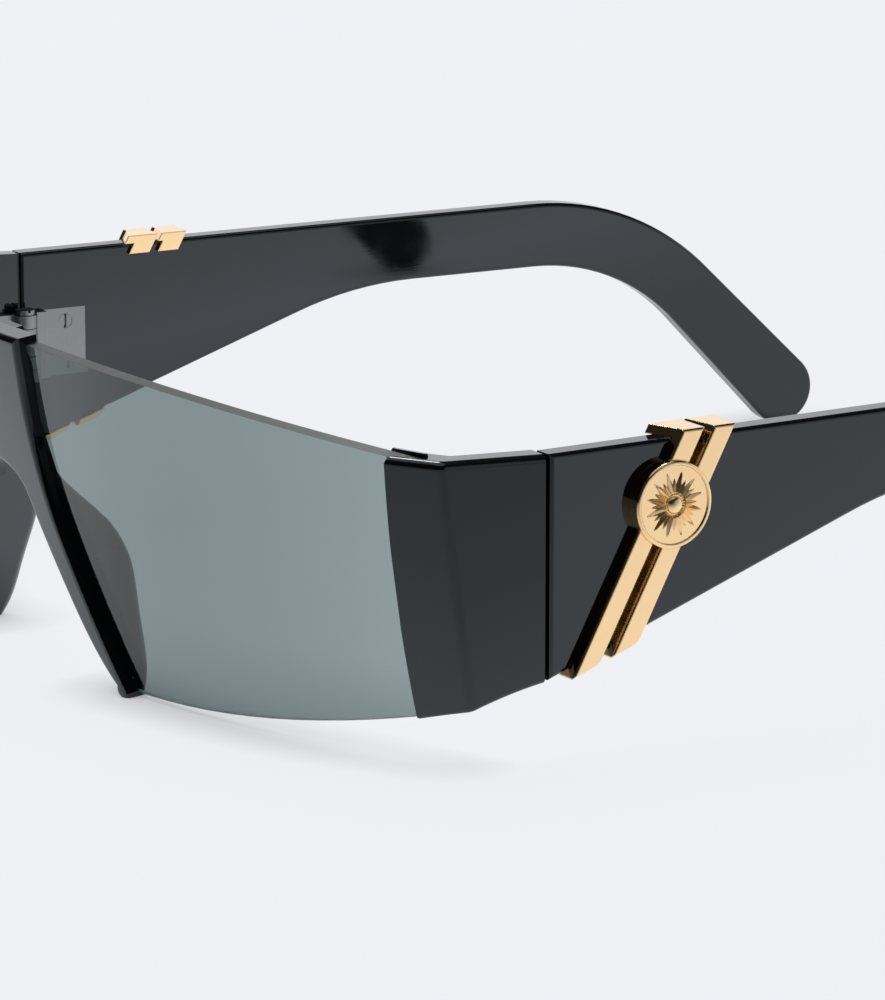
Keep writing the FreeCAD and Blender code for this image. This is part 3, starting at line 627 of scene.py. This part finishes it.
@dataclass
class Sunburst:
    """Plain sunburst on the medallion: pointed rays, short ones between them, round boss."""

    rays: int = 12
    radius: float = 3.95 * MM
    height: float = 0.70 * MM
    foot: float = 0.03 * MM
    long_ray: Ray = Ray(tip=1.0, taper=0.62, tall=1.0)
    short_ray: Ray = Ray(tip=0.8, taper=0.45, tall=0.72)
    point: float = 0.10
    fall: float = 0.62
    least: float = 0.001
    boss: float = 0.27
    collar: tuple = (1.05, 1.35)
    rim: float = 0.985
    around: int = 289
    across: int = 45

    def tree(self, gold: bpy.types.Material) -> bpy.types.NodeTree:
        """Build the node tree that shapes the sunburst by its rule.

        Args:
            gold: its finish.

        Returns:
            The node tree.
        """
        group = bpy.data.node_groups.new("sunburst", "GeometryNodeTree")
        group.interface.new_socket(
            "Geometry", in_out="OUTPUT", socket_type="NodeSocketGeometry")
        for label, kind in (
                ("Rays", "NodeSocketFloat"), ("Radius", "NodeSocketFloat"),
                ("Height", "NodeSocketFloat"), ("Foot", "NodeSocketFloat"),
                ("Place", "NodeSocketVector"), ("Turn", "NodeSocketVector")):
            group.interface.new_socket(label, in_out="INPUT", socket_type=kind)
        tree = Tree(group)
        given = tree.add("NodeGroupInput").outputs
        sheets = [self._sheet(tree, given, flat) for flat in (False, True)]
        joined = tree.add("GeometryNodeJoinGeometry")
        for sheet in sheets:
            tree.feed(joined.inputs[0], sheet)
        merged = tree.add("GeometryNodeMergeByDistance", {
            "Geometry": joined.outputs[0], "Distance": MERGE_DISTANCE})
        turned = tree.add("GeometryNodeTransform", {
            "Geometry": merged.outputs[0], "Translation": given["Place"],
            "Rotation": given["Turn"]})
        dressed = tree.add(
            "GeometryNodeSetMaterial", {"Geometry": turned.outputs[0], "Material": gold})
        tree.add("NodeGroupOutput", {0: dressed.outputs[0]})
        return group

    def _sheet(self, tree: Tree, given: Any, flat: bool) -> Socket:
        """One polar sheet: the relief, or the flat back that closes it.

        Args:
            tree: the tree's builder.
            given: the group's inputs.
            flat: make the back.

        Returns:
            The sheet's geometry.
        """
        rows = 2 if flat else self.across
        grid = tree.add("GeometryNodeMeshGrid", {
            "Size X": 1.0, "Size Y": 1.0, "Vertices X": rows, "Vertices Y": self.around})
        spot = tree.add(
            "ShaderNodeSeparateXYZ", {0: tree.add("GeometryNodeInputPosition").outputs[0]})
        share = tree.math("ADD", spot.outputs["X"], 0.5)
        turn = tree.math("ADD", spot.outputs["Y"], 0.5)
        angle = tree.math("MULTIPLY", turn, FULL_TURN)
        reach = tree.math("MULTIPLY", share, given["Radius"])
        lift = 0.0 if flat else self._lift(tree, given, share, turn)
        place = tree.add("ShaderNodeCombineXYZ", {
            "X": lift, "Y": tree.math("MULTIPLY", reach, tree.math("COSINE", angle)),
            "Z": tree.math("MULTIPLY", reach, tree.math("SINE", angle))})
        moved = tree.add("GeometryNodeSetPosition", {
            "Geometry": grid.outputs["Mesh"], "Position": place.outputs[0]})
        return moved.outputs[0]

    def _lift(self, tree: Tree, given: Any, share: Socket, turn: Socket) -> Socket:
        """Height of the relief at a share of the radius and of the turn.

        Args:
            tree: the tree's builder.
            given: the group's inputs.
            share: distance from the centre as a share of the radius.
            turn: share of the full turn.

        Returns:
            The height.
        """
        step = tree.math("FRACT", tree.math("MULTIPLY", turn, given["Rays"]))
        off = tree.math("ABSOLUTE", tree.math("SUBTRACT", step, 0.5))
        off = tree.math("MULTIPLY", off, 2.0)
        between = tree.math("SUBTRACT", 1.0, off)
        relief = tree.math(
            "MAXIMUM", self._ridge(tree, share, off, self.long_ray),
            self._ridge(tree, share, between, self.short_ray))
        inside = tree.math("POWER", tree.math("DIVIDE", share, self.boss), 2.0)
        dome = tree.math("SQRT", tree.math("SUBTRACT", 1.0, inside, clamp=True))
        collar = tree.span(share, *(self.boss * edge for edge in self.collar))
        relief = tree.math("MAXIMUM", tree.math("MULTIPLY", relief, collar), dome)
        foot = tree.math("MULTIPLY", tree.span(share, 1.0, self.rim), given["Foot"])
        tall = tree.math("SUBTRACT", given["Height"], given["Foot"])
        return tree.math("MULTIPLY_ADD", relief, tall, foot)

    def _ridge(self, tree: Tree, share: Socket, distance: Socket, ray: Ray) -> Socket:
        """Height of one kind of ray, as a share of the full height.

        Args:
            tree: the tree's builder.
            share: distance from the centre as a share of the radius.
            distance: way from the ray's middle, 1 at the next ray of the other kind.
            ray: the kind of ray.

        Returns:
            The share.
        """
        wide = tree.math("ADD", tree.span(share, ray.tip, ray.tip - ray.taper), self.least)
        ridge = tree.math("SUBTRACT", 1.0, tree.math("DIVIDE", distance, wide), clamp=True)
        slope = tree.math("MULTIPLY_ADD", share, -self.fall, 1.0)
        point = tree.math(
            "MULTIPLY", tree.span(share, ray.tip, ray.tip - self.point), ray.tall)
        return tree.math("MULTIPLY", tree.math("MULTIPLY", ridge, slope), point)

    def build(self, gold: bpy.types.Material) -> None:
        """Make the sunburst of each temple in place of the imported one.

        Args:
            gold: its finish.
        """
        tree = self.tree(gold)
        for side in Side:
            low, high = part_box(f"rosette_{side.tag}")
            middle = (low + high) / 2
            outward = Vector((side.value * math.cos(TOE_IN), math.sin(TOE_IN), 0.0))
            seat = middle - outward * (self.height * 0.5)
            turn = Euler((0.0, 0.0, math.atan2(outward.y, outward.x)))
            maker = make_with(tree, {
                "Rays": float(self.rays), "Radius": self.radius, "Height": self.height,
                "Foot": self.foot, "Place": seat, "Turn": Vector(turn)})
            piece = as_plain_mesh(maker, f"sunburst_{side.tag}")
            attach(piece, side.body)
            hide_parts(f"rosette_{side.tag}")
            LOG.info("made %s: %d faces", piece.name, len(piece.data.polygons))


@dataclass
class LeafScrews:
    """Countersunk slotted screws of the hinge leaves."""

    radius: float = 1.0 * MM
    shank: float = 0.5 * MM
    long: float = 2.3 * MM
    slot: float = 0.35 * MM
    deep: float = 0.3 * MM
    pitch: float = 5.4 * MM
    chamfer: float = 0.06 * MM
    steps: int = 28

    def pattern(self) -> bpy.types.Object:
        """One screw along its axis, head at the origin.

        Returns:
            The object that the screws are copied from.
        """
        shape = bmesh.new()
        for sign in (1, -1):
            self._half(shape, sign)
        mesh = bpy.data.meshes.new("leaf_screw_pattern")
        finish_shape(shape, mesh)
        return add_object("leaf_screw_pattern", mesh)

    def _half(self, shape: bmesh.types.BMesh, sign: int) -> None:
        """Half of the screw on one side of the slot, with the slot's wall and floor.

        Args:
            shape: the mesh to add to.
            sign: side of the slot.
        """
        floor_radius = self.radius + self.chamfer - self.deep
        above = [self._arc(shape, sign, radius, depth) for radius, depth in (
            (self.radius - self.chamfer, 0.0), (self.radius, self.chamfer),
            (floor_radius, self.deep))]
        floor = [shape.verts.new((end * floor_radius, 0.0, self.deep)) for end in (1, -1)]
        below = [[floor[0], *above[-1], floor[1]]]
        cone = self.radius - self.shank + self.chamfer
        for radius, depth in (
                (self.shank, cone), (self.shank, self.long - self.chamfer),
                (self.shank - self.chamfer, self.long)):
            ends = [shape.verts.new((end * radius, 0.0, depth)) for end in (1, -1)]
            below.append([ends[0], *self._arc(shape, sign, radius, depth), ends[1]])
        for rings in (above, below):
            for upper, lower in zip(rings, rings[1:]):
                for i in range(len(upper) - 1):
                    shape.faces.new((upper[i], upper[i + 1], lower[i + 1], lower[i]))
        shape.faces.new(above[0])
        shape.faces.new([ring[0] for ring in above] + [ring[-1] for ring in reversed(above)])
        shape.faces.new((floor[0], above[-1][0], above[-1][-1], floor[1]))
        shape.faces.new(below[-1])

    def _arc(
            self, shape: bmesh.types.BMesh, sign: int, radius: float, depth: float) -> list:
        """Points of one half ring, from one end of the slot to the other.

        Args:
            shape: the mesh to add to.
            sign: side of the slot.
            radius: the ring's radius.
            depth: the ring's place along the axis.

        Returns:
            The points in order.
        """
        start = math.asin(self.slot / 2 / radius)
        reach = math.pi - 2 * start
        angles = (start + reach * i / self.steps for i in range(self.steps + 1))
        return [shape.verts.new((radius * math.cos(one), sign * radius * math.sin(one), depth))
                for one in angles]

    def tree(self, steel: bpy.types.Material) -> bpy.types.NodeTree:
        """Node tree that sets the pattern on points, each along its own axis.

        Args:
            steel: their finish.

        Returns:
            The node tree.
        """
        group = bpy.data.node_groups.new("leaf_screws", "GeometryNodeTree")
        for label, way, kind in (
                ("Geometry", "INPUT", "NodeSocketGeometry"),
                ("Pattern", "INPUT", "NodeSocketObject"),
                ("Geometry", "OUTPUT", "NodeSocketGeometry")):
            group.interface.new_socket(label, in_out=way, socket_type=kind)
        tree = Tree(group)
        given = tree.add("NodeGroupInput").outputs
        pattern = tree.add("GeometryNodeObjectInfo", {"Object": given["Pattern"]})
        axis = tree.add(
            "GeometryNodeInputNamedAttribute", {"Name": "axis"}, data_type="FLOAT_VECTOR")
        turn = tree.add(
            "FunctionNodeAlignRotationToVector", {"Vector": axis.outputs[0]}, axis="Z")
        placed = tree.add("GeometryNodeInstanceOnPoints", {
            "Points": given["Geometry"], "Instance": pattern.outputs["Geometry"],
            "Rotation": turn.outputs[0]})
        real = tree.add("GeometryNodeRealizeInstances", {0: placed.outputs[0]})
        dressed = tree.add(
            "GeometryNodeSetMaterial", {"Geometry": real.outputs[0], "Material": steel})
        tree.add("NodeGroupOutput", {0: dressed.outputs[0]})
        return group

    def build(self, steel: bpy.types.Material) -> None:
        """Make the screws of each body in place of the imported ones.

        Args:
            steel: their finish.
        """
        pattern = self.pattern()
        tree = self.tree(steel)
        sets = {"front": [(side, "front", 0.0) for side in Side]}
        for side in Side:
            sets[side.body] = [(side, "temple", TOE_IN)]
        for body, rows in sets.items():
            spots, axes, nodes = [], [], []
            for side, leaf, lean in rows:
                node = f"hinge_{leaf}_leaf_screws_{side.tag}"
                nodes.append(node)
                low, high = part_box(node)
                into = Vector((side.value * math.cos(lean), math.sin(lean), 0.0))
                head = (low + high) / 2 - into * (self.long / 2)
                for step in (-0.5, 0.5):
                    spots.append(head + Vector((0.0, 0.0, step * self.pitch)))
                    axes.append(into)
            mesh = bpy.data.meshes.new("screw_spots")
            mesh.from_pydata(spots, [], [])
            axis = mesh.attributes.new("axis", "FLOAT_VECTOR", "POINT")
            axis.data.foreach_set("vector", [part for one in axes for part in one])
            maker = make_with(tree, {"Pattern": pattern}, mesh)
            piece = as_plain_mesh(maker, f"leaf_screws_{body}")
            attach(piece, body)
            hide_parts(*nodes)
            LOG.info("made %s: %d screws", piece.name, len(spots))
        bpy.data.objects.remove(pattern)


@dataclass
class SeatLips:
    """Rounded lips of the end pieces, which rise behind the pane where its seat begins."""

    start: tuple = (0.06326, -0.05959, 0.03664)
    end: tuple = (0.06716, -0.05713, 0.03639)
    radius: float = 0.30 * MM
    around: int = 24
    steps: int = 12

    def build(self, black: bpy.types.Material) -> None:
        """Make the lip of each side and let it ride the front.

        Args:
            black: their finish.
        """
        for side in Side:
            piece = self._lip(side)
            piece.data.materials.append(black)
            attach(piece, "front")
            LOG.info("made %s", piece.name)

    def _lip(self, side: Side) -> bpy.types.Object:
        """One lip: a round bar with round ends.

        Args:
            side: the wearer's side.

        Returns:
            The new piece.
        """
        first, last = (
            Vector((side.value * spot[0], *spot[1:])) for spot in (self.start, self.end))
        run = last - first
        axis = run.normalized()
        across = axis.cross(Vector((0.0, 0.0, 1.0))).normalized()
        above = across.cross(axis)
        turns = [FULL_TURN * i / self.around for i in range(self.around)]
        shape = bmesh.new()
        rings = []
        for base, quarter in ((self.radius, 0), (run.length - self.radius, 1)):
            for step in range(self.steps + 1):
                angle = math.pi / 2 * (quarter + step / self.steps)
                middle = first + axis * (base - self.radius * math.cos(angle))
                wide = max(self.radius * math.sin(angle), 0.0)
                rings.append([
                    shape.verts.new(
                        middle + wide * (across * math.cos(turn) + above * math.sin(turn)))
                    for turn in turns])
        for near, far in zip(rings, rings[1:]):
            for i in range(self.around):
                j = (i + 1) % self.around
                shape.faces.new((near[i], near[j], far[j], far[i]))
        name = f"seat_lip_{side.tag}"
        mesh = bpy.data.meshes.new(name)
        finish_shape(shape, mesh)
        mesh.shade_smooth()
        return add_object(name, mesh)


class SubAssembly:
    """What the sub-assemblies share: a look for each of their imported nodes."""

    looks: ClassVar[dict[str, Look]] = {}

    def dress(self, nodes: dict, finishes: Finishes) -> None:
        """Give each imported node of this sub-assembly its finish.

        Args:
            nodes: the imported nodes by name.
            finishes: the finishes by look.
        """
        for name, node in nodes.items():
            kind = name
            for side in Side:
                kind = kind.removesuffix(f"_{side.tag}")
            if kind not in self.looks:
                continue
            finish = finishes[self.looks[kind]]
            node.data.materials.clear()
            node.data.materials.append(finish)
            LOG.info("dressed %s in %s", name, finish.name)


@dataclass
class Temples(SubAssembly):
    """Temples with their cores, and on each the gold bars, the groove and the medallion."""

    looks: ClassVar[dict[str, Look]] = {
        "temple": Look.BLACK, "temple_core": Look.STEEL, "ornament_strip": Look.SHADED,
        "ornament_bar_front": Look.GOLD, "ornament_bar_rear": Look.GOLD,
        "medallion": Look.GOLD, "rosette": Look.RELIEF}
    sunburst: Sunburst = field(default_factory=Sunburst)

    def build(self, finishes: Finishes) -> None:
        """Make the sunbursts of the medallions.

        Args:
            finishes: the finishes by look.
        """
        self.sunburst.build(finishes[Look.RELIEF])


@dataclass
class Hinges(SubAssembly):
    """Hinge leaves, the pins between them and the screws that hold them."""

    looks: ClassVar[dict[str, Look]] = {
        "hinge_front_leaf": Look.STEEL, "hinge_temple_leaf": Look.STEEL,
        "hinge_front_leaf_screws": Look.STEEL, "hinge_temple_leaf_screws": Look.STEEL,
        "hinge_pin": Look.STEEL}
    screws: LeafScrews = field(default_factory=LeafScrews)

    def build(self, finishes: Finishes) -> None:
        """Make the slotted screws.

        Args:
            finishes: the finishes by look.
        """
        self.screws.build(finishes[Look.STEEL])


@dataclass
class Front(SubAssembly):
    """Pane, bridge cover, nose saddle and end pieces, with their screws and seat lips."""

    looks: ClassVar[dict[str, Look]] = {
        "shield_lens": Look.PANE, "bridge_cover": Look.BLACK, "nose_saddle": Look.SATIN,
        "end_piece": Look.BLACK, "bridge_screw": Look.STEEL, "lens_screw": Look.STEEL}
    lips: SeatLips = field(default_factory=SeatLips)

    def build(self, finishes: Finishes) -> None:
        """Make the lips at the pane's seat.

        Args:
            finishes: the finishes by look.
        """
        self.lips.build(finishes[Look.BLACK])


@dataclass
class Studio:
    """Pale paper and soft light: a key lamp, a small edge lamp and a bright low sweep.

    Brightness is given as shares of the paper's paleness. The floor's glow in a
    reflection, a painted reflection, follows the stops before and beside the sunglasses,
    and a reach is the band of a direction's lean, from nothing to full.
    """

    floor: float = 6.0
    floor_cells: int = 8
    pale: tuple = (0.855, 0.871, 0.905, 1.0)
    lit_share: float = 0.05
    glow: float = 0.967
    # painted contact shade: ambient occlusion darkens the paper's glow near the sunglasses
    contact_reach: float = 0.0085
    contact: float = 0.62
    contact_samples: int = 12
    towards: tuple = (0.869, -0.495, 0.0)
    # painted reflection: the floor's glow as only glossy rays see it, by place
    before: tuple = ((-0.03, 1.03), (0.02, 1.29), (0.095, 0.98), (0.13, 0.68), (0.24, 0.36))
    beside: tuple = (
        (-0.03, 1.04), (0.02, 1.36), (0.06, 1.12), (0.105, 1.03), (0.125, 0.99), (0.16, 0.92))
    across: tuple = (-0.550, 0.835, 0.0)
    parting: tuple = (-0.0765, -0.0735)
    dim: float = 0.02
    sweep: float = 1.14
    sweep_from: tuple = (-0.87, 0.49, 0.0)
    sweep_reach: tuple = (0.62, 0.86)
    sweep_behind: tuple = (0.58, 0.80)
    sweep_top: tuple = (0.52, 0.34)
    wall: float = 0.55
    wall_from: tuple = (0.80, 0.60, 0.0)
    wall_reach: tuple = (0.82, 0.95)
    ceiling: float = 0.8
    ceiling_reach: tuple = (0.84, 0.92)
    aim: tuple = (0.03, -0.04, 0.02)
    key_place: tuple = (-0.55, 0.20, 1.40)
    key_side: float = 1.3
    key_watts: float = 17.0
    edge_place: tuple = (-0.674, 0.187, 1.076)
    edge_side: float = 0.40
    edge_watts: float = 5.0

    def build(self) -> None:
        """Make the floor, the room and the lamps."""
        self._floor()
        self._room()
        key = self._lamp("key", self.key_place, self.key_side, self.key_watts)
        key.visible_glossy = False
        edge = self._lamp("edge", self.edge_place, self.edge_side, self.edge_watts)
        edge.visible_diffuse = False

    def _shade(self, share: float) -> tuple:
        """A share of the paper's paleness."""
        return tuple(share * part for part in self.pale[:3]) + (1.0,)

    def _floor(self) -> None:
        """Lay the floor."""
        shape = bmesh.new()
        bmesh.ops.create_grid(
            shape, x_segments=self.floor_cells, y_segments=self.floor_cells, size=self.floor)
        mesh = bpy.data.meshes.new("floor")
        shape.to_mesh(mesh)
        shape.free()
        mesh.materials.append(self._paper())
        floor = add_object("floor", mesh)

    def _paper(self) -> bpy.types.Material:
        """Paper that keeps the lamps' shadows and glows to its own paleness, with a painted
        contact shade where ambient occlusion darkens its glow, and a painted reflection in
        the glow that only glossy rays see.

        Returns:
            The material.
        """
        material = bpy.data.materials.new("pale_paper")
        material.use_nodes = True
        tree = Tree(material.node_tree)
        path = tree.add("ShaderNodeLightPath").outputs
        seen = tree.math("MAXIMUM", path["Is Camera Ray"], path["Is Transmission Ray"])
        bounced = tree.math(
            "SUBTRACT", path["Is Glossy Ray"], path["Is Transmission Ray"], clamp=True)
        place = tree.add("ShaderNodeTexCoord").outputs["Object"]
        near = tree.dot(place, self.towards)
        parted = tree.span(tree.dot(place, self.across), *self.parting, smooth=True)
        # painted reflection: glow that only glossy rays see, by place on the floor
        reflected_glow = tree.blend(
            parted, tree.curve(near, self.before), tree.curve(near, self.beside))
        # painted contact shade, both as seen and in reflections
        around = tree.add(
            "ShaderNodeAmbientOcclusion", {"Distance": self.contact_reach},
            samples=self.contact_samples)
        clear = around.outputs["AO"]
        reflected_glow = tree.math("MULTIPLY", tree.math("MULTIPLY", reflected_glow, bounced), clear)
        open_share = tree.math("MULTIPLY_ADD", clear, self.contact, 1.0 - self.contact)
        seen = tree.math("MULTIPLY", seen, open_share)
        paper = tree.add("ShaderNodeBsdfDiffuse", {"Color": self._shade(self.lit_share)})
        glow = tree.add("ShaderNodeEmission", {
            "Color": self.pale, "Strength": tree.math("MULTIPLY_ADD", seen, self.glow, reflected_glow)})
        both = tree.add("ShaderNodeAddShader", {0: paper.outputs[0], 1: glow.outputs[0]})
        tree.add("ShaderNodeOutputMaterial", {"Surface": both.outputs[0]})
        return material

    def _room(self) -> None:
        """Fill the room: a bright low sweep, a wall, a ceiling, and dim elsewhere."""
        world = bpy.data.worlds.new("studio")
        bpy.context.scene.world = world
        world.use_nodes = True
        tree = Tree(world.node_tree)
        facing = tree.add("ShaderNodeTexCoord").outputs["Generated"]
        parts = tree.add("ShaderNodeSeparateXYZ", {"Vector": facing}).outputs
        wide = tree.math(
            "MAXIMUM",
            tree.span(tree.dot(facing, self.sweep_from), *self.sweep_reach, smooth=True),
            tree.span(parts["Y"], *self.sweep_behind, smooth=True))
        share = tree.math(
            "MULTIPLY", wide, tree.span(parts["Z"], *self.sweep_top, smooth=True))
        aside = tree.span(tree.dot(facing, self.wall_from), *self.wall_reach, smooth=True)
        above = tree.span(parts["Z"], *self.ceiling_reach, smooth=True)
        colour = tree.blend(share, self._shade(self.dim), self._shade(self.sweep))
        colour = tree.blend(aside, colour, self._shade(self.wall))
        colour = tree.blend(above, colour, self._shade(self.ceiling))
        back = tree.add("ShaderNodeBackground", {"Color": colour, "Strength": 1.0})
        tree.add("ShaderNodeOutputWorld", {"Surface": back.outputs[0]})

    def _lamp(self, name: str, place: tuple, side: float, watts: float) -> bpy.types.Object:
        """Hang one soft square lamp that looks at the sunglasses.

        Args:
            name: its name.
            place: where it hangs.
            side: its side.
            watts: its power.

        Returns:
            The lamp's object.
        """
        lamp = bpy.data.lights.new(name, "AREA")
        lamp.shape = "SQUARE"
        lamp.size = side
        lamp.energy = watts
        holder = add_object(name, lamp)
        turn_to(holder, place, self.aim)
        return holder


@dataclass
class Viewpoint:
    """The photograph's viewpoint."""

    place: tuple = (0.56700, -0.34009, 0.16887)
    aim: tuple = (0.06000, -0.05121, 0.02920)
    lens: float = 191.07
    sensor: float = 36.0
    clip: tuple = (0.01, 50.0)

    def build(self) -> None:
        """Make the camera."""
        data = bpy.data.cameras.new("viewpoint")
        data.lens = self.lens
        data.sensor_width = self.sensor
        data.clip_start, data.clip_end = self.clip
        camera = add_object("viewpoint", data)
        turn_to(camera, self.place, self.aim)
        bpy.context.scene.camera = camera


def turn_to(thing: bpy.types.Object, place: tuple, aim: tuple) -> None:
    """Put a lamp or a camera in its place and turn it to what it looks at.

    Args:
        thing: the lamp or the camera.
        place: where it goes.
        aim: what it looks at.
    """
    thing.location = place
    thing.rotation_euler = (Vector(aim) - Vector(place)).to_track_quat("-Z", "Y").to_euler()


def clear_scene() -> None:
    """Remove what a new Blender file holds."""
    for thing in list(bpy.data.objects):
        bpy.data.objects.remove(thing)


def main() -> None:
    """Build the sunglasses round the frame, then the studio and the camera."""
    logging.basicConfig(level=logging.INFO, format="%(name)s: %(message)s")
    clear_scene()
    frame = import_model()
    bpy.context.scene.view_settings.view_transform = "Standard"
    finishes = Finishes()
    for group in (Temples(), Hinges(), Front()):
        group.dress(frame["nodes"], finishes)
        group.build(finishes)
    Studio().build()
    Viewpoint().build()


if __name__ == "__main__":
    main()
